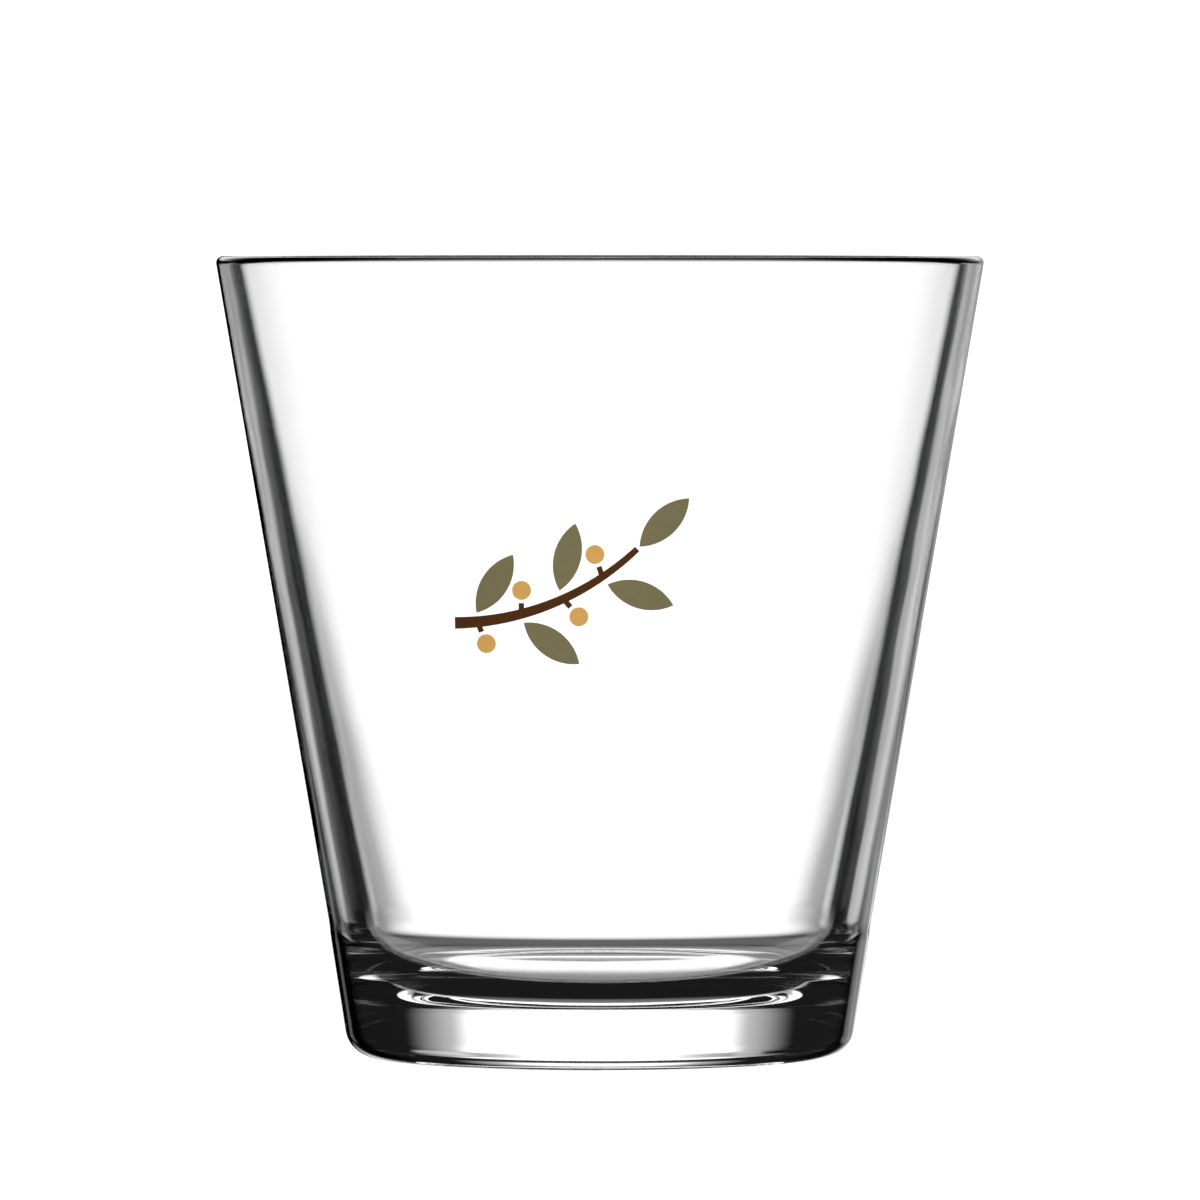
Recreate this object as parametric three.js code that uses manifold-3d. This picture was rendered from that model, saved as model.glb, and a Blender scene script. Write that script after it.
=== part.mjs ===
// A conical drinking glass with a heavy base and a fired print of a leafy sprig on its front.
// Millimetres, +Z up, front towards -Y. The origin is the middle of the ring that the glass stands on.
import * as THREE from "three";
import { mergeVertices } from "three/addons/utils/BufferGeometryUtils.js";
import Module from "manifold-3d";

// Glass: wall sizes are measured level
const glassHeight = 90;
const rimDiameter = 86.6; // outside of the wall carried up to the rim's plane
const rimWall = 1.5;
const collarHeight = 14.3; // mould line where the wall meets the base
const collarDiameter = 60.7;
const collarWall = 4.1;
const collarStep = 0.09; // the base stands this far proud at the mould line
const collarBlend = 2.6; // height over which that step fades out
const footDiameter = 56.4; // side of the base carried down to the table
const footCorner = 3.3;
const floorThickness = 6.9;
const floorFillet = 9.5; // rounds the floor into the wall like a bowl
const hollowDiameter = 44; // shallow hollow under the base, inside the standing ring
const hollowDepth = 0.5;

// Print: each patch of ink is a thin film on the outside of the wall
const printDrop = 36.2; // middle of the print below the rim
const printAside = -1.6; // and beside the middle of the front
const inkFilm = 0.15;
const inkBed = 0.05; // clearance between the film and the wall
const inkGap = 0.35; // bare glass between neighbouring patches
const twigBend = 30; // radius of the bowed stem
const twigLean = THREE.MathUtils.degToRad(30);
const twigTail = 2.5; // stem before the first leaf
const twigWidth = 1.3;
const twigTip = 0.7;
const leafCount = 4; // side leaves, besides the one at the tip
const leafLength = 7.6;
const leafWidth = 3;
const leafLean = THREE.MathUtils.degToRad(52);
const berryDiameter = 2.1;
const stalkLength = 2.6; // middle of the stem to the middle of the berry
const stalkWidth = 0.6;
const stalkLean = THREE.MathUtils.degToRad(74);

// Facets
const turnSteps = 72;
const roundSteps = 10;
const outlineSteps = 8;
const weldDistance = 1e-4;

const wasm = await Module();
wasm.setup();

// A straight side in section: its radius at any height and its slope
function straightSide(lowRadius, lowHeight, highRadius, highHeight) {
  const slope = (highRadius - lowRadius) / (highHeight - lowHeight);
  return {
    slope,
    stretch: Math.hypot(1, slope),
    radiusAt: (height) => lowRadius + slope * (height - lowHeight),
  };
}

const rimRadius = rimDiameter / 2;
const collarRadius = collarDiameter / 2;
const wallOutside = straightSide(collarRadius, collarHeight, rimRadius, glassHeight);
const wallInside = straightSide(collarRadius - collarWall, collarHeight, rimRadius - rimWall, glassHeight);
const baseSide = straightSide(footDiameter / 2, 0, collarRadius + collarStep, collarHeight);

// Arc of a circle that touches the given side from within, at the given height of its centre
function arcAgainst(side, centreHeight, radius, fromAngle, toAngle) {
  const centreRadius = side.radiusAt(centreHeight) - radius * side.stretch;
  return Array.from({ length: roundSteps + 1 }, (_, step) => {
    const angle = THREE.MathUtils.lerp(fromAngle, toAngle, step / roundSteps);
    return new THREE.Vector2(
      centreRadius + radius * Math.cos(angle),
      centreHeight + radius * Math.sin(angle),
    );
  });
}

// Shallow hollow under the base, level at its middle and at the standing ring
function hollowCurve() {
  return Array.from({ length: roundSteps + 1 }, (_, step) => {
    const share = step / roundSteps;
    const lift = hollowDepth * (1 + Math.cos(Math.PI * share)) / 2;
    return new THREE.Vector2(share * hollowDiameter / 2, lift);
  });
}

// Rounded bottom edge, from the standing ring up to the side of the base
function footArc() {
  return arcAgainst(baseSide, footCorner, footCorner, -Math.PI / 2, -Math.atan(baseSide.slope));
}

// Mould line, where the side of the base eases into the wall
function collarCurve() {
  return Array.from({ length: roundSteps + 1 }, (_, step) => {
    const share = step / roundSteps;
    const height = collarHeight + collarBlend * (share - 1 / 2);
    const ease = THREE.MathUtils.smootherstep(share, 0, 1);
    const radius = THREE.MathUtils.lerp(baseSide.radiusAt(height), wallOutside.radiusAt(height), ease);
    return new THREE.Vector2(radius, height);
  });
}

// Fire-polished lip: one arc that touches both faces of the wall and the rim's plane
function lipArc() {
  const spread = wallOutside.stretch + wallInside.stretch + wallOutside.slope - wallInside.slope;
  const lipRadius = rimWall / spread;
  const outsideAngle = -Math.atan(wallOutside.slope);
  const insideAngle = Math.PI - Math.atan(wallInside.slope);
  return arcAgainst(wallOutside, glassHeight - lipRadius, lipRadius, outsideAngle, insideAngle);
}

// Bowl-shaped corner between the inside of the wall and the floor
function floorArc() {
  const centreHeight = floorThickness + floorFillet;
  return arcAgainst(wallInside, centreHeight, floorFillet, -Math.atan(wallInside.slope), -Math.PI / 2);
}

// Turns a section about the upright axis
function turned(section) {
  return new THREE.LatheGeometry(section, turnSteps).rotateX(Math.PI / 2);
}

function glassGeometry() {
  const floorMiddle = new THREE.Vector2(0, floorThickness);
  return turned([
    ...hollowCurve(), ...footArc(), ...collarCurve(), ...lipArc(), ...floorArc(), floorMiddle,
  ]);
}

function solidOf(geometry) {
  geometry.deleteAttribute("normal");
  geometry.deleteAttribute("uv");
  const welded = mergeVertices(geometry, weldDistance);
  return new wasm.Manifold(new wasm.Mesh({
    numProp: 3,
    vertProperties: new Float32Array(welded.attributes.position.array),
    triVerts: new Uint32Array(welded.index.array),
  }));
}

function geometryOf(solid) {
  const mesh = solid.getMesh();
  const geometry = new THREE.BufferGeometry();
  geometry.setAttribute("position", new THREE.BufferAttribute(mesh.vertProperties, 3));
  geometry.setIndex(new THREE.BufferAttribute(mesh.triVerts, 1));
  geometry.computeVertexNormals();
  return geometry;
}

// Along the stem, a leaf is followed on its own side by the berry of the next leaf,
// and the pitch keeps those two an ink gap apart
const besideLeaf = leafWidth / 2 + inkGap + berryDiameter / 2;
const leafPitch = (besideLeaf + stalkLength * Math.sin(stalkLean - leafLean)) / Math.sin(leafLean);
const twigLength = twigTail + leafCount * leafPitch;
const sprigLength = twigLength + inkGap + leafLength;
const printHeight = glassHeight - printDrop;

// Layer of ink round the whole wall, tall enough for the print
function inkLayer() {
  const low = printHeight - sprigLength;
  const high = printHeight + sprigLength;
  const corner = (height, thickness) =>
    new THREE.Vector2(wallOutside.radiusAt(height) + inkBed + thickness, height);
  return solidOf(turned([
    corner(low, 0), corner(low, inkFilm), corner(high, inkFilm), corner(high, 0), corner(low, 0),
  ]));
}

// Direction of the stem at a distance along it
function twigAngle(along) {
  return (along - sprigLength / 2) / twigBend;
}

// Place in the print's upright plane, at a distance along the stem and off to its upper side
function besideTwig(along, aside) {
  const angle = twigAngle(along);
  const reach = twigBend - aside;
  const place = new THREE.Vector2(reach * Math.sin(angle), twigBend - reach * Math.cos(angle));
  place.rotateAround(new THREE.Vector2(), twigLean);
  return place.add(new THREE.Vector2(printAside, printHeight));
}

// Block behind a flat outline, from the upright plane through the axis out past the front of the wall
function blockBehind(outline, place = new THREE.Vector2(), angle = 0) {
  const block = new THREE.ExtrudeGeometry(outline, {
    depth: rimDiameter,
    bevelEnabled: false,
    curveSegments: outlineSteps,
  });
  block.rotateZ(angle).translate(place.x, place.y, 0).rotateX(Math.PI / 2);
  return solidOf(block);
}

// Slender stem, narrowing towards its tip
function twigOutline() {
  const upperEdge = [];
  const lowerEdge = [];
  for (let step = 0; step <= 2 * outlineSteps; step += 1) {
    const share = step / (2 * outlineSteps);
    const half = THREE.MathUtils.lerp(twigWidth, twigTip, share) / 2;
    lowerEdge.push(besideTwig(share * twigLength, -half));
    upperEdge.unshift(besideTwig(share * twigLength, half));
  }
  return new THREE.Shape([...lowerEdge, ...upperEdge]);
}

// Stalk from the middle of the stem to an ink gap short of its berry
function stalkOutline() {
  const end = stalkLength - berryDiameter / 2 - inkGap;
  const half = stalkWidth / 2;
  return new THREE.Shape([
    new THREE.Vector2(0, -half), new THREE.Vector2(end, -half),
    new THREE.Vector2(end, half), new THREE.Vector2(0, half),
  ]);
}

// Leaf pointed at both ends, between two arcs
function leafOutline() {
  const radius = (leafLength ** 2 + leafWidth ** 2) / (4 * leafWidth);
  const sink = radius - leafWidth / 2;
  const half = Math.asin(leafLength / 2 / radius);
  const up = Math.PI / 2;
  const leaf = new THREE.Shape();
  leaf.absarc(leafLength / 2, sink, radius, -up - half, -up + half, false);
  leaf.absarc(leafLength / 2, -sink, radius, up - half, up + half, false);
  return leaf;
}

function berryOutline() {
  return new THREE.Shape().absarc(0, 0, berryDiameter / 2, 0, 2 * Math.PI, false);
}

// Leaves stand on alternate sides of the stem, each with a berry across from it
const nodes = Array.from({ length: leafCount }, (_, index) => ({
  along: twigTail + index * leafPitch,
  leafSide: index % 2 === 0 ? 1 : -1,
}));

function twigBlock() {
  const stem = blockBehind(twigOutline());
  return nodes.reduce((joined, { along, leafSide }) => {
    const angle = twigLean + twigAngle(along) - leafSide * stalkLean;
    return joined.add(blockBehind(stalkOutline(), besideTwig(along, 0), angle));
  }, stem);
}

function leafBlock({ along, leafSide }) {
  const angle = twigLean + twigAngle(along) + leafSide * leafLean;
  const base = besideTwig(along, leafSide * (twigWidth / 2 + inkGap));
  return blockBehind(leafOutline(), base, angle);
}

function tipLeafBlock() {
  const base = twigLength + inkGap;
  return blockBehind(leafOutline(), besideTwig(base, 0), twigLean + twigAngle(base));
}

function berryBlock({ along, leafSide }) {
  const angle = twigLean + twigAngle(along) - leafSide * stalkLean;
  const stalk = new THREE.Vector2(stalkLength, 0).rotateAround(new THREE.Vector2(), angle);
  return blockBehind(berryOutline(), besideTwig(along, 0).add(stalk));
}

function clearGlass() {
  return new THREE.MeshStandardMaterial({
    color: 0xf4f7f6,
    roughness: 0.02,
    metalness: 0,
    transparent: true,
    opacity: 0.35,
  });
}

function firedInk(color) {
  return new THREE.MeshStandardMaterial({ color, roughness: 0.35, metalness: 0 });
}

function piece(name, geometry, material) {
  const mesh = new THREE.Mesh(geometry, material);
  mesh.name = name;
  return mesh;
}

const layer = inkLayer();

function patch(name, block, color) {
  return piece(name, geometryOf(layer.intersect(block)), firedInk(color));
}

const brown = 0x4d2b14;
const olive = 0x7a7250;
const amber = 0xd9a04e;

const print = new THREE.Group();
print.add(patch("print_twig", twigBlock(), brown));
nodes.forEach((node, index) => {
  print.add(patch(`print_leaf_${index + 1}`, leafBlock(node), olive));
  print.add(patch(`print_berry_${index + 1}`, berryBlock(node), amber));
});
print.add(patch("print_leaf_tip", tipLeafBlock(), olive));

const drinkingGlass = new THREE.Group();
drinkingGlass.add(piece("glass_body", glassGeometry(), clearGlass()));
drinkingGlass.add(print);

export default drinkingGlass;
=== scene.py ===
import bpy
import math
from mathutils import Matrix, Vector


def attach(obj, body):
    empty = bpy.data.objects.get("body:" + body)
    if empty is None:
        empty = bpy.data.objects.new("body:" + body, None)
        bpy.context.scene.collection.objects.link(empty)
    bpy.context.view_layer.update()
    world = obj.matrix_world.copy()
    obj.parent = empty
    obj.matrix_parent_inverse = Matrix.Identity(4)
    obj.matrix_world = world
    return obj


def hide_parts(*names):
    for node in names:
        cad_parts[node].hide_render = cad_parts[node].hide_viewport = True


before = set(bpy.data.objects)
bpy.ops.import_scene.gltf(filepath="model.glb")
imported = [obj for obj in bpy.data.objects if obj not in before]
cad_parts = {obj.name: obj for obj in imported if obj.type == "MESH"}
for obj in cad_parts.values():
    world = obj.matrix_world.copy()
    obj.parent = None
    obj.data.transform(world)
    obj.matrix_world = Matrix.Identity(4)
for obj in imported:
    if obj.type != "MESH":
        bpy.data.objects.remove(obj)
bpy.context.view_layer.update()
mm = 0.001
weld = 0.001 * mm  # points this close are one
print("frame loaded with", len(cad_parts), "nodes")


def hexToLinear(code):
    # sRGB hex to the linear colour that shaders take
    shares = [int(code[i:i + 2], 16) / 255 for i in (1, 3, 5)]
    return [s / 12.92 if s <= 0.04045 else ((s + 0.055) / 1.055) ** 2.4 for s in shares] + [1.0]


def addNode(tree, kind, settings, links):
    # a node with its settings, and links from the sockets that feed it
    node = tree.nodes.new(kind)
    for name, value in settings.items():
        if isinstance(name, int) or name in node.inputs:
            node.inputs[name].default_value = value
        else:
            setattr(node, name, value)
    for name, source in links.items():
        tree.links.new(source, node.inputs[name])
    return node


def newMaterial(name):
    material = bpy.data.materials.new(name)
    material.use_nodes = True
    material.node_tree.nodes.clear()
    return material, material.node_tree


def evenShares(steps):
    # from 0 to 1 in equal steps
    return [i / steps for i in range(steps + 1)]


def drawChain(name, points):
    # one vertex, extruded from point to point
    bpy.ops.object.select_all(action="DESELECT")
    bpy.ops.mesh.primitive_plane_add(size=mm)
    piece = bpy.context.object
    piece.name = name
    bpy.ops.object.mode_set(mode="EDIT")
    bpy.ops.mesh.select_all(action="SELECT")
    bpy.ops.mesh.merge(type="CENTER")
    bpy.ops.transform.translate(value=points[0])
    for here, there in zip(points, points[1:]):
        bpy.ops.mesh.extrude_region_move(TRANSFORM_OT_translate={"value": there - here})
    return piece


def spinRound(steps):
    # turns the chain that is being edited about the upright axis and closes it
    bpy.ops.mesh.select_all(action="SELECT")
    bpy.ops.mesh.spin(steps=steps, angle=2 * math.pi, center=(0, 0, 0), axis=(0, 0, 1))
    bpy.ops.mesh.select_all(action="SELECT")
    bpy.ops.mesh.remove_doubles(threshold=weld)
    bpy.ops.mesh.normals_make_consistent(inside=False)
    bpy.ops.object.mode_set(mode="OBJECT")


# Tumbler: pressed in one piece, so one section is spun. Sizes in millimetres.
tumbler = {
    "height": 90.0, "rimDiameter": 86.6, "rimWall": 1.5,
    "collarHeight": 14.3, "collarDiameter": 60.7, "collarWall": 4.1,
    "collarStep": 0.09, "collarBlend": 2.6,
    "footDiameter": 56.4, "footCorner": 3.3,
    "floorThickness": 6.9, "floorFillet": 9.5,
    "hollowDiameter": 44.0, "hollowDepth": 0.5,
    "arcSteps": 26, "turnSteps": 256,
    # rings on long stretches, two of them close to the ends, keep the smooth shading true
    "longStretch": 0.6, "edgeRing": 0.03, "ringShares": (0.25, 0.5, 0.75),
}


def straightSide(lowRadius, lowHeight, highRadius, highHeight):
    slope = (highRadius - lowRadius) / (highHeight - lowHeight)
    return {"slope": slope, "low": lowRadius, "from": lowHeight}


def radiusAt(side, height):
    return side["low"] + side["slope"] * (height - side["from"])


def sectionSides():
    collar, rim = tumbler["collarDiameter"] / 2, tumbler["rimDiameter"] / 2
    innerCollar, innerRim = collar - tumbler["collarWall"], rim - tumbler["rimWall"]
    low, high = tumbler["collarHeight"], tumbler["height"]
    return {
        "outside": straightSide(collar, low, rim, high),
        "inside": straightSide(innerCollar, low, innerRim, high),
        "base": straightSide(tumbler["footDiameter"] / 2, 0, collar + tumbler["collarStep"], low),
    }


def arcAgainst(side, centreHeight, radius, fromAngle, toAngle):
    # arc that touches the side from within
    centre = radiusAt(side, centreHeight) - radius * math.hypot(1, side["slope"])
    angles = [fromAngle + (toAngle - fromAngle) * share for share in evenShares(tumbler["arcSteps"])]
    return [(centre + radius * math.cos(a), centreHeight + radius * math.sin(a)) for a in angles]


def collarCurve(sides):
    # mould line, where the base eases into the wall
    curve = []
    for share in evenShares(tumbler["arcSteps"]):
        height = tumbler["collarHeight"] + tumbler["collarBlend"] * (share - 0.5)
        ease = share ** 3 * (share * (6 * share - 15) + 10)  # from 0 to 1, level at both ends
        low, high = radiusAt(sides["base"], height), radiusAt(sides["outside"], height)
        curve.append((low + (high - low) * ease, height))
    return curve


def hollowCurve():
    # shallow dome under the base
    reach, depth = tumbler["hollowDiameter"] / 2, tumbler["hollowDepth"]
    shares = evenShares(tumbler["arcSteps"])
    return [(share * reach, depth * (1 + math.cos(math.pi * share)) / 2) for share in shares]


def steadied(section):
    # extra rings on each long straight stretch
    full = [section[0]]
    for here, there in zip(section, section[1:]):
        length = math.dist(here, there)
        if length > tumbler["longStretch"]:
            end = tumbler["edgeRing"] / length
            for share in (end, *tumbler["ringShares"], 1 - end):
                full.append(tuple(a + (b - a) * share for a, b in zip(here, there)))
        full.append(there)
    return full


def tumblerSection():
    # from the middle of the underside out, up the outside, over the lip and down to the floor's middle
    sides = sectionSides()
    outSlope, inSlope, baseSlope = (sides[name]["slope"] for name in ("outside", "inside", "base"))
    lip = tumbler["rimWall"] / (math.hypot(1, outSlope) + math.hypot(1, inSlope) + outSlope - inSlope)
    foot, fillet = tumbler["footCorner"], tumbler["floorFillet"]
    section = hollowCurve()
    section += arcAgainst(sides["base"], foot, foot, -math.pi / 2, -math.atan(baseSlope))
    section += collarCurve(sides)
    section += arcAgainst(sides["outside"], tumbler["height"] - lip, lip,
                          -math.atan(outSlope), math.pi - math.atan(inSlope))
    section += arcAgainst(sides["inside"], tumbler["floorThickness"] + fillet, fillet,
                          -math.atan(inSlope), -math.pi / 2)
    section.append((0.0, tumbler["floorThickness"]))
    return steadied(section)


def makeTumbler():
    piece = drawChain("tumbler", [Vector((radius, 0, height)) * mm for radius, height in tumblerSection()])
    spinRound(tumbler["turnSteps"])
    bpy.ops.object.shade_smooth()
    return piece


tumblerPiece = makeTumbler()
print("tumbler spun:", len(tumblerPiece.data.polygons), "faces")


# Sprig: patches of ink on the front of the wall, each cut from one thin film. Sizes in millimetres.
sprig = {
    "drop": 36.2, "aside": -1.6,  # below the rim, and to the left of the middle
    "film": 0.15, "bed": 0.05, "gap": 0.35,  # ink, its clearance to the wall, and bare glass between patches
    "twigBend": 30.0, "twigLean": math.radians(30), "twigTail": 2.5, "twigWidth": 1.3, "twigTip": 0.7,
    "leafCount": 4, "leafLength": 7.6, "leafWidth": 3.0, "leafLean": math.radians(52),
    "berryDiameter": 2.1, "stalkLength": 2.6, "stalkWidth": 0.6, "stalkLean": math.radians(74),
    "outlineSteps": 24, "filmSteps": 360, "sharpAngle": math.radians(30),
}
besideLeaf = sprig["leafWidth"] / 2 + sprig["gap"] + sprig["berryDiameter"] / 2
stalkReach = sprig["stalkLength"] * math.sin(sprig["stalkLean"] - sprig["leafLean"])
leafPitch = (besideLeaf + stalkReach) / math.sin(sprig["leafLean"])
twigLength = sprig["twigTail"] + sprig["leafCount"] * leafPitch
sprigLength = twigLength + sprig["gap"] + sprig["leafLength"]
sprigHeight = tumbler["height"] - sprig["drop"]


def makeFilm():
    # a closed ring of ink round the wall, which the patches are cut from
    wall = sectionSides()["outside"]
    low, high = sprigHeight - sprigLength, sprigHeight + sprigLength
    inner, outer = sprig["bed"], sprig["bed"] + sprig["film"]
    corners = [(low, inner), (low, outer), (high, outer), (high, inner), (low, inner)]
    ring = drawChain("film", [Vector((radiusAt(wall, z) + out, 0, z)) * mm for z, out in corners])
    spinRound(sprig["filmSteps"])
    return ring


def turnedBy(point, angle):
    return Vector((point[0] * math.cos(angle) - point[1] * math.sin(angle),
                   point[0] * math.sin(angle) + point[1] * math.cos(angle)))


def twigAngle(along):
    return (along - sprigLength / 2) / sprig["twigBend"]


def stalkAngle(along, side):
    return sprig["twigLean"] + twigAngle(along) - side * sprig["stalkLean"]


def besideTwig(along, aside):
    # place in the upright plane of the print
    angle, reach = twigAngle(along), sprig["twigBend"] - aside
    level = (reach * math.sin(angle), sprig["twigBend"] - reach * math.cos(angle))
    return turnedBy(level, sprig["twigLean"]) + Vector((sprig["aside"], sprigHeight))


def twigOutline():
    lower, upper = [], []
    for share in evenShares(sprig["outlineSteps"]):
        half = (sprig["twigWidth"] + (sprig["twigTip"] - sprig["twigWidth"]) * share) / 2
        lower.append(besideTwig(share * twigLength, -half))
        upper.insert(0, besideTwig(share * twigLength, half))
    return lower + upper


def stalkOutline(along, side):
    end, half = sprig["stalkLength"] - sprig["berryDiameter"] / 2 - sprig["gap"], sprig["stalkWidth"] / 2
    corners = [(0, -half), (end, -half), (end, half), (0, half)]
    return [besideTwig(along, 0) + turnedBy(corner, stalkAngle(along, side)) for corner in corners]


def leafOutline(base, angle):
    # two arcs that meet in a point at each end
    length, width = sprig["leafLength"], sprig["leafWidth"]
    radius = (length ** 2 + width ** 2) / (4 * width)
    half = math.asin(length / 2 / radius)
    edge = []
    for share in evenShares(sprig["outlineSteps"])[:-1]:
        turn = half * (2 * share - 1)
        edge.append((length / 2 + radius * math.sin(turn), radius * (1 - math.cos(turn)) - width / 2))
    back = [(length - x, -y) for x, y in edge]
    return [base + turnedBy(point, angle) for point in edge + back]


def berryOutline(along, side):
    middle = besideTwig(along, 0) + turnedBy((sprig["stalkLength"], 0), stalkAngle(along, side))
    turns = [2 * math.pi * share for share in evenShares(sprig["outlineSteps"])[:-1]]
    return [middle + turnedBy((sprig["berryDiameter"] / 2, 0), turn) for turn in turns]


def pushedOut(name, outline):
    # block that fills the outline and reaches from the axis past the front of the wall
    block = drawChain(name, [Vector((point.x, 0, point.y)) * mm for point in outline])
    bpy.ops.mesh.select_all(action="SELECT")
    bpy.ops.mesh.edge_face_add()
    depth = Vector((0, -tumbler["rimDiameter"] * mm, 0))
    bpy.ops.mesh.extrude_region_move(TRANSFORM_OT_translate={"value": depth})
    bpy.ops.mesh.select_all(action="SELECT")
    bpy.ops.mesh.normals_make_consistent(inside=False)
    bpy.ops.object.mode_set(mode="OBJECT")
    return block


def cutWith(piece, other, operation):
    bpy.ops.object.select_all(action="DESELECT")
    bpy.context.view_layer.objects.active = piece
    piece.select_set(True)
    cut = piece.modifiers.new("cut", "BOOLEAN")
    cut.operation, cut.solver, cut.object = operation, "EXACT", other
    bpy.ops.object.modifier_apply(modifier=cut.name)


def removePiece(piece):
    bpy.ops.object.select_all(action="DESELECT")
    piece.select_set(True)
    bpy.ops.object.delete()


def printPatch(node, outline, extras=()):
    patch = pushedOut("ink_" + node, outline)
    for extra in extras:
        stalk = pushedOut("stalk", extra)
        cutWith(patch, stalk, "UNION")
        removePiece(stalk)
    cutWith(patch, film, "INTERSECT")
    bpy.ops.object.shade_smooth_by_angle(angle=sprig["sharpAngle"])
    return patch


film = makeFilm()
leafPlaces = []
for i in range(sprig["leafCount"]):  # leaves stand on either side in turn, each with a berry across the twig
    leafPlaces.append((i + 1, sprig["twigTail"] + i * leafPitch, 1 if i % 2 == 0 else -1))
stalks = [stalkOutline(along, side) for number, along, side in leafPlaces]
patches = {"print_twig": printPatch("print_twig", twigOutline(), stalks)}
for number, along, side in leafPlaces:
    leafBase = besideTwig(along, side * (sprig["twigWidth"] / 2 + sprig["gap"]))
    leafAngle = sprig["twigLean"] + twigAngle(along) + side * sprig["leafLean"]
    leafNode, berryNode = f"print_leaf_{number}", f"print_berry_{number}"
    patches[leafNode] = printPatch(leafNode, leafOutline(leafBase, leafAngle))
    patches[berryNode] = printPatch(berryNode, berryOutline(along, side))
tipAlong = twigLength + sprig["gap"]
tipOutline = leafOutline(besideTwig(tipAlong, 0), sprig["twigLean"] + twigAngle(tipAlong))
patches["print_leaf_tip"] = printPatch("print_leaf_tip", tipOutline)
removePiece(film)
print("sprig printed:", len(patches), "patches")


# Soda-lime glass, pressed and fire-polished: colourless and mirror-smooth with a faint ripple from the mould.
# Painted shade: the glass colour is darkened where its walls are seen edge on, most of all near the thick
# foot, and the lip is painted as a grey line.
clearGlass = {
    "ior": 1.5, "roughness": 0.0, "clearness": 1.0, "tint": "#ffffff",
    # the two dark colours here are painted shade in the glass colour: one on walls seen edge on, one on the
    # lip
    "paintedEdgeShade": "#101212", "edgeFrom": 0.585, "edgeTo": 0.685,  # how far turned away it starts and is full
    "outerRise": 0.003, "innerShift": 0.11,  # it starts later for each mm of height outside, and later inside
    "outerDepth": 0.7, "innerFade": 6.5,  # skin that counts as outside, and height of the fade inside
    "paintedLipShade": "#d8dada", "lipDepth": 0.9, "lipFade": 0.3,
    "rippleSize": 14.0, "rippleDepth": 0.04, "rippleDetail": 1.0,
}


def paintedEdgeMask(tree, place, height):
    # mask of the painted shade: 1 where a wall is seen edge on, 0 where it faces the eye and on the floor
    wall = sectionSides()["outside"]
    level = addNode(tree, "ShaderNodeVectorMath", {"operation": "MULTIPLY", 1: (1, 1, 0)}, {0: place})
    radius = addNode(tree, "ShaderNodeVectorMath", {"operation": "LENGTH"}, {0: level.outputs["Vector"]})
    upright = addNode(tree, "ShaderNodeMath", {"operation": "MULTIPLY_ADD", 1: -wall["slope"]},
                      {0: height, 2: radius.outputs["Value"]})
    skin = (radiusAt(wall, 0) - clearGlass["outerDepth"]) * mm
    outside = addNode(tree, "ShaderNodeMath", {"operation": "GREATER_THAN", 1: skin},
                      {0: upright.outputs["Value"]})
    filletTop = tumbler["floorThickness"] + tumbler["floorFillet"]
    aboveFloor = addNode(tree, "ShaderNodeMapRange",
                         {"interpolation_type": "SMOOTHSTEP", "From Max": filletTop * mm,
                          "From Min": (filletTop - clearGlass["innerFade"]) * mm}, {"Value": height})
    sides = addNode(tree, "ShaderNodeMath", {"operation": "MAXIMUM"},
                    {0: outside.outputs["Value"], 1: aboveFloor.outputs["Result"]})
    outerShift = addNode(tree, "ShaderNodeMath", {"operation": "MULTIPLY", 1: clearGlass["outerRise"] / mm},
                         {0: height})
    shift = addNode(tree, "ShaderNodeMix", {"A": clearGlass["innerShift"]},
                    {"Factor": outside.outputs["Value"], "B": outerShift.outputs["Value"]})
    facing = addNode(tree, "ShaderNodeLayerWeight", {}, {})
    turned = addNode(tree, "ShaderNodeMath", {"operation": "SUBTRACT"},
                     {0: facing.outputs["Facing"], 1: shift.outputs["Result"]})
    edge = addNode(tree, "ShaderNodeMapRange",
                   {"interpolation_type": "SMOOTHSTEP", "From Min": clearGlass["edgeFrom"],
                    "From Max": clearGlass["edgeTo"]},
                   {"Value": turned.outputs["Value"], "To Max": sides.outputs["Value"]})
    return edge.outputs["Result"]


def paintedLipMask(tree, height):
    # mask of the painted grey lip shade: 1 on the lip, 0 below it
    lipFoot = tumbler["height"] - clearGlass["lipDepth"]
    lip = addNode(tree, "ShaderNodeMapRange",
                  {"From Min": lipFoot * mm, "From Max": (lipFoot + clearGlass["lipFade"]) * mm},
                  {"Value": height})
    return lip.outputs["Result"]


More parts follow.
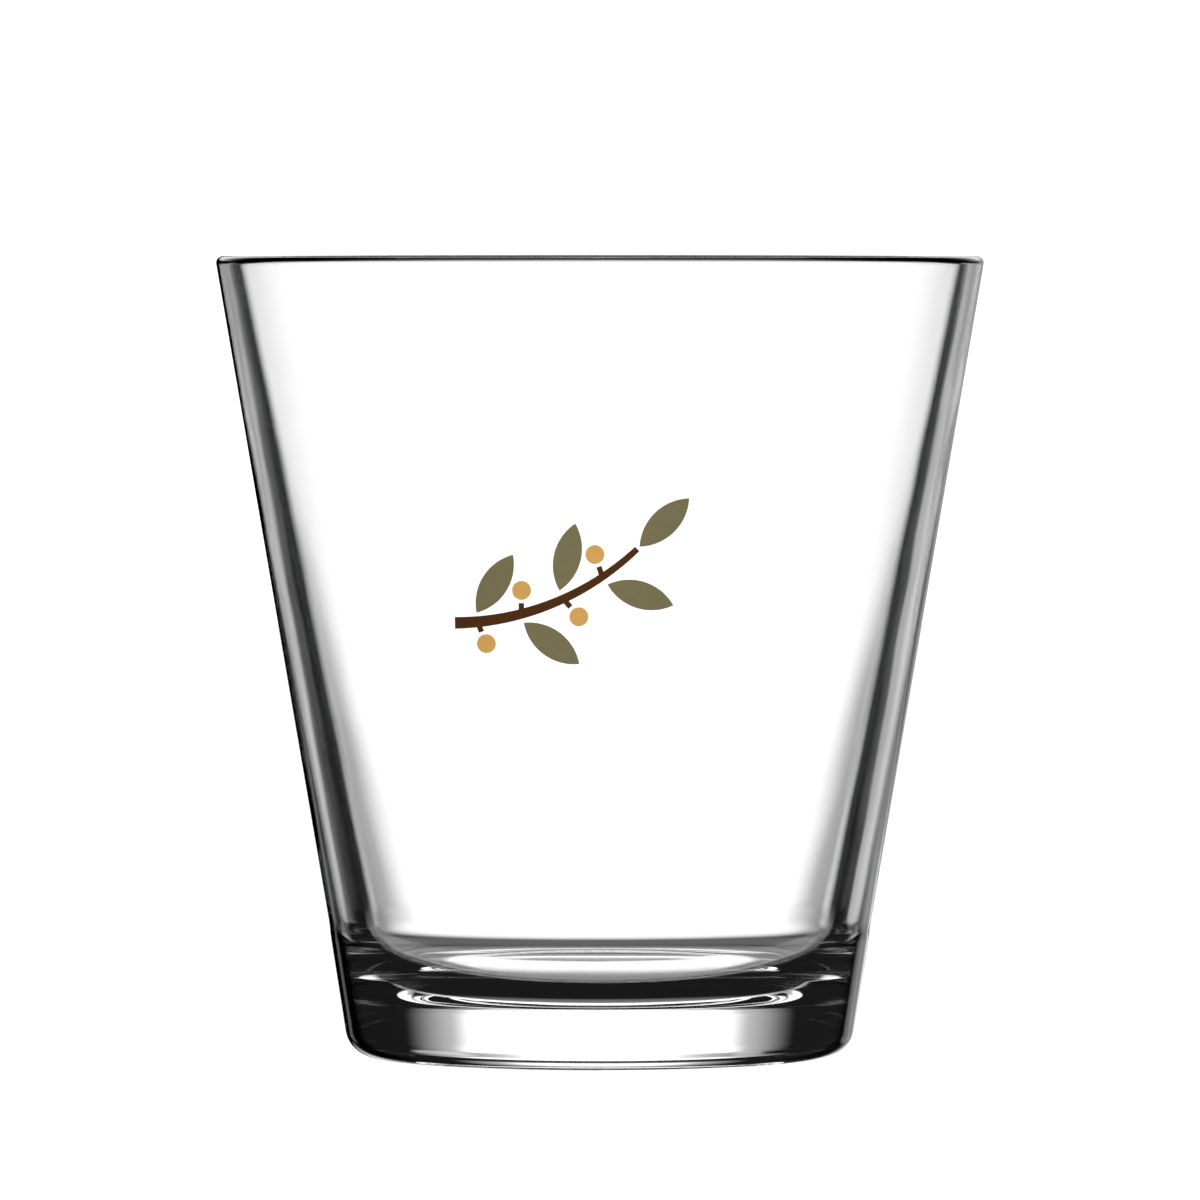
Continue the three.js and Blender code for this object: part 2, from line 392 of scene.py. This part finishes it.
def makeClearGlass():
    material, tree = newMaterial("pressedSodaLimeGlassPaintedShade")
    place = addNode(tree, "ShaderNodeTexCoord", {}, {}).outputs["Object"]
    height = addNode(tree, "ShaderNodeSeparateXYZ", {}, {"Vector": place}).outputs["Z"]
    # glass colour darkened with painted shade where the walls are seen edge on
    body = addNode(tree, "ShaderNodeMixRGB",
                   {"Color1": hexToLinear(clearGlass["tint"]), "Color2": hexToLinear(clearGlass["paintedEdgeShade"])},
                   {"Fac": paintedEdgeMask(tree, place, height)})
    # and a painted grey shade line on the lip
    colour = addNode(tree, "ShaderNodeMixRGB", {"Color2": hexToLinear(clearGlass["paintedLipShade"])},
                     {"Fac": paintedLipMask(tree, height), "Color1": body.outputs["Color"]})
    wave = addNode(tree, "ShaderNodeTexNoise",
                   {"Scale": 1 / (clearGlass["rippleSize"] * mm), "Detail": clearGlass["rippleDetail"]},
                   {"Vector": place})
    ripple = addNode(tree, "ShaderNodeBump", {"Distance": clearGlass["rippleDepth"] * mm},
                     {"Height": wave.outputs["Fac"]})
    shader = addNode(tree, "ShaderNodeBsdfPrincipled",
                     {"Roughness": clearGlass["roughness"], "IOR": clearGlass["ior"],
                      "Transmission Weight": clearGlass["clearness"]},
                     {"Base Color": colour.outputs["Color"], "Normal": ripple.outputs["Normal"]})
    addNode(tree, "ShaderNodeOutputMaterial", {}, {"Surface": shader.outputs["BSDF"]})
    return material


# Ceramic ink, screened on and fired: satin colour, a little uneven in depth, with a faint skin.
# The grain is drawn coarser than the real pigment, so that it shows.
inks = {
    "brown_ink": {"light": "#57351c", "dark": "#4d2f16"},
    "olive_ink": {"light": "#827a5a", "dark": "#7a7152"},
    "amber_ink": {"light": "#e1b068", "dark": "#d9a658"},
}
inkSkin = {
    "ior": 1.5, "smoothest": 0.32, "roughest": 0.48,
    "mottleSize": 0.9, "mottleDetail": 3.0,
    "grainSize": 0.25, "grainDepth": 0.02, "grainStrength": 0.25,
}


def makeInk(slot, ink):
    material, tree = newMaterial("fired" + slot.split("_")[0].capitalize() + "Ink")
    place = addNode(tree, "ShaderNodeTexCoord", {}, {}).outputs["Object"]
    mottle = addNode(tree, "ShaderNodeTexNoise",
                     {"Scale": 1 / (inkSkin["mottleSize"] * mm), "Detail": inkSkin["mottleDetail"]},
                     {"Vector": place})
    colour = addNode(tree, "ShaderNodeMixRGB",
                     {"Color1": hexToLinear(ink["dark"]), "Color2": hexToLinear(ink["light"])},
                     {"Fac": mottle.outputs["Fac"]})
    rough = addNode(tree, "ShaderNodeMapRange",
                    {"To Min": inkSkin["smoothest"], "To Max": inkSkin["roughest"]},
                    {"Value": mottle.outputs["Fac"]})
    grain = addNode(tree, "ShaderNodeTexNoise", {"Scale": 1 / (inkSkin["grainSize"] * mm)}, {"Vector": place})
    bump = addNode(tree, "ShaderNodeBump",
                   {"Strength": inkSkin["grainStrength"], "Distance": inkSkin["grainDepth"] * mm},
                   {"Height": grain.outputs["Fac"]})
    shader = addNode(tree, "ShaderNodeBsdfPrincipled", {"IOR": inkSkin["ior"]},
                     {"Base Color": colour.outputs["Color"], "Roughness": rough.outputs["Result"],
                      "Normal": bump.outputs["Normal"]})
    addNode(tree, "ShaderNodeOutputMaterial", {}, {"Surface": shader.outputs["BSDF"]})
    return material


tumblerPiece.data.materials.clear()
tumblerPiece.data.materials.append(makeClearGlass())
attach(tumblerPiece, "root")
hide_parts("glass_body")
tumblerPiece.visible_shadow = False  # clear glass lets the lamps reach the back of the ink
inkMaterials = {slot: makeInk(slot, ink) for slot, ink in inks.items()}
for node, patch in patches.items():
    slot = "brown_ink" if "twig" in node else "olive_ink" if "leaf" in node else "amber_ink"
    patch.data.materials.clear()
    patch.data.materials.append(inkMaterials[slot])
    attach(patch, "root")
    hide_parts(node)
print("finishes laid on")


# Camera: far away and just above the rim, as the photograph was taken
view = {"distance": 1400.0, "height": 94.0, "aim": 51.3, "frame": 135.0, "sensor": 36.0, "reach": 20000.0}


def makeCamera():
    bpy.ops.object.camera_add(location=(0, -view["distance"] * mm, view["height"] * mm))
    eye = bpy.context.object
    eye.data.sensor_width = view["sensor"]
    eye.data.lens = view["sensor"] * view["distance"] / view["frame"]
    eye.data.clip_end = view["reach"] * mm
    pitch = math.atan((view["height"] - view["aim"]) / view["distance"])
    eye.rotation_euler = (math.pi / 2 - pitch, 0, 0)
    bpy.context.scene.camera = eye
    return eye


# Studio: soft oval cards glow behind the glass and the rest is dark, so that clear glass shows dark edges.
# Each card has its direction from the glass and its half width and height in degrees, the share of it that
# fades out, and its brightness. Core and halo light the walls, the others the floor and the base.
cards = {
    "core": {"aside": 0, "rise": 10, "across": 25, "upright": 24.2, "fades": 0.26, "glow": 0.75},
    "halo": {"aside": 0, "rise": 8.5, "across": 37, "upright": 36.5, "fades": 0.55, "glow": 0.65},
    "table": {"aside": 0, "rise": -16.5, "across": 19.5, "upright": 12, "fades": 0.6, "glow": 0.85},
    "dusk": {"aside": 0, "rise": -36, "across": 15, "upright": 15, "fades": 0.6, "glow": 0.14},
    "lowLeft": {"aside": -24.5, "rise": -10.5, "across": 4.5, "upright": 6.5, "fades": 0.6, "glow": 0.25},
    "lowRight": {"aside": 27, "rise": -11.5, "across": 9, "upright": 6, "fades": 0.45, "glow": 0.45},
}
# Black cloths in front of the cards keep the shine down: all of it on the left, part of it on the right
# and only above the cloth's foot.
cloths = {
    "leftFlag": {"side": -1, "blocks": 1.0, "foot": -3000.0},
    "rightNet": {"side": 1, "blocks": 0.65, "foot": -105.0},
}
studio = {
    "cardAway": 1500.0, "cardApart": 10.0, "cardCorners": 96,
    "clothWide": 6000.0, "clothColour": "#0a0a0a",
    "floorSize": 3000.0, "floorDrop": 0.05, "floorGlow": 1.05,
    "fillSize": 600.0, "fillPower": 14.0,
    "fillAside": (-700.0, 700.0), "fillAhead": 1200.0, "fillHeight": 600.0,
    "roomColour": "#ffffff", "roomGlow": 0.01, "bounces": 24,
}


def makeCard(name, card):
    # each stands a little behind the last, so that their light adds up
    away = (studio["cardAway"] + list(cards).index(name) * studio["cardApart"]) * mm
    aside, rise = math.radians(card["aside"]), math.radians(card["rise"])
    toCard = Vector((math.sin(aside) * math.cos(rise), math.cos(aside) * math.cos(rise), math.sin(rise)))
    bpy.ops.mesh.primitive_circle_add(vertices=studio["cardCorners"], radius=1, fill_type="NGON",
                                      location=toCard * away + Vector((0, 0, tumbler["height"] / 2 * mm)),
                                      rotation=toCard.to_track_quat("Z", "Y").to_euler())
    sheet = bpy.context.object
    sheet.name = name
    sheet.scale = [away * math.tan(math.radians(card[reach])) for reach in ("across", "upright")] + [1]
    material, tree = newMaterial(name)
    place = addNode(tree, "ShaderNodeTexCoord", {}, {}).outputs["Object"]
    out = addNode(tree, "ShaderNodeVectorMath", {"operation": "LENGTH"}, {0: place})
    glow = addNode(tree, "ShaderNodeMapRange",
                   {"interpolation_type": "SMOOTHSTEP", "From Min": 1, "From Max": 1 - card["fades"],
                    "To Max": card["glow"]}, {"Value": out.outputs["Value"]})
    shine = addNode(tree, "ShaderNodeEmission", {}, {"Strength": glow.outputs["Result"]})
    clear = addNode(tree, "ShaderNodeBsdfTransparent", {}, {})
    both = addNode(tree, "ShaderNodeAddShader", {}, {0: shine.outputs["Emission"], 1: clear.outputs["BSDF"]})
    addNode(tree, "ShaderNodeOutputMaterial", {}, {"Surface": both.outputs["Shader"]})
    sheet.data.materials.append(material)
    return sheet


def makeCloth(name, cloth):
    # only the shine sees it, and it is open as far as it doesn't block
    wide, away = studio["clothWide"] * mm, (studio["cardAway"] - studio["cardApart"]) * mm
    bpy.ops.mesh.primitive_plane_add(size=wide, rotation=(math.pi / 2, 0, 0),
                                     location=(cloth["side"] * wide / 2, away, cloth["foot"] * mm + wide / 2))
    sheet = bpy.context.object
    sheet.name = name
    material, tree = newMaterial(name)
    thread = addNode(tree, "ShaderNodeBsdfDiffuse", {"Color": hexToLinear(studio["clothColour"])}, {})
    holes = addNode(tree, "ShaderNodeBsdfTransparent", {}, {})
    weave = addNode(tree, "ShaderNodeMixShader", {"Fac": cloth["blocks"]},
                    {1: holes.outputs["BSDF"], 2: thread.outputs["BSDF"]})
    addNode(tree, "ShaderNodeOutputMaterial", {}, {"Surface": weave.outputs["Shader"]})
    sheet.data.materials.append(material)
    for ray in ("visible_camera", "visible_diffuse", "visible_transmission"):
        setattr(sheet, ray, False)
    return sheet


def makeFloor():
    # pale floor for the eye alone, so that the glass still bends the cards and the dark
    bpy.ops.mesh.primitive_plane_add(size=studio["floorSize"] * mm,
                                     location=(0, 0, -studio["floorDrop"] * mm))
    sheet = bpy.context.object
    sheet.name = "paleFloor"
    material, tree = newMaterial("paleFloor")
    shine = addNode(tree, "ShaderNodeEmission", {"Strength": studio["floorGlow"]}, {})
    addNode(tree, "ShaderNodeOutputMaterial", {}, {"Surface": shine.outputs["Emission"]})
    sheet.data.materials.append(material)
    for ray in ("visible_diffuse", "visible_glossy", "visible_transmission"):
        setattr(sheet, ray, False)
    return sheet


def makeFill(aside):
    # lamp for the ink alone: the glass neither mirrors it nor shows it
    stand = Vector((aside, -studio["fillAhead"], studio["fillHeight"])) * mm
    bpy.ops.object.light_add(type="AREA", location=stand)
    lamp = bpy.context.object
    lamp.data.shape, lamp.data.size, lamp.data.energy = "DISK", studio["fillSize"] * mm, studio["fillPower"]
    toSprig = Vector((0, 0, sprigHeight * mm)) - lamp.location
    lamp.rotation_euler = toSprig.to_track_quat("-Z", "Y").to_euler()
    lamp.visible_glossy = lamp.visible_transmission = False
    return lamp


bpy.ops.object.select_all(action="DESELECT")
camera = makeCamera()
lit = [makeCard(name, card) for name, card in cards.items()]
hung = [makeCloth(name, cloth) for name, cloth in cloths.items()]
floor = makeFloor()
fills = [makeFill(aside) for aside in studio["fillAside"]]
bpy.context.view_layer.update()
for rig in lit + hung + fills:  # cards, cloths and lamps go round with the camera
    rig.parent = camera
    rig.matrix_parent_inverse = camera.matrix_world.inverted()
world = bpy.data.worlds.new("darkStudio")
world.use_nodes = True
backdrop = world.node_tree.nodes["Background"]
backdrop.inputs["Color"].default_value = hexToLinear(studio["roomColour"])
backdrop.inputs["Strength"].default_value = studio["roomGlow"]
scene = bpy.context.scene
scene.world = world
scene.view_settings.view_transform = "Standard"
for limit in ("max_bounces", "transmission_bounces", "glossy_bounces", "transparent_max_bounces"):
    setattr(scene.cycles, limit, studio["bounces"])
print("studio lit")
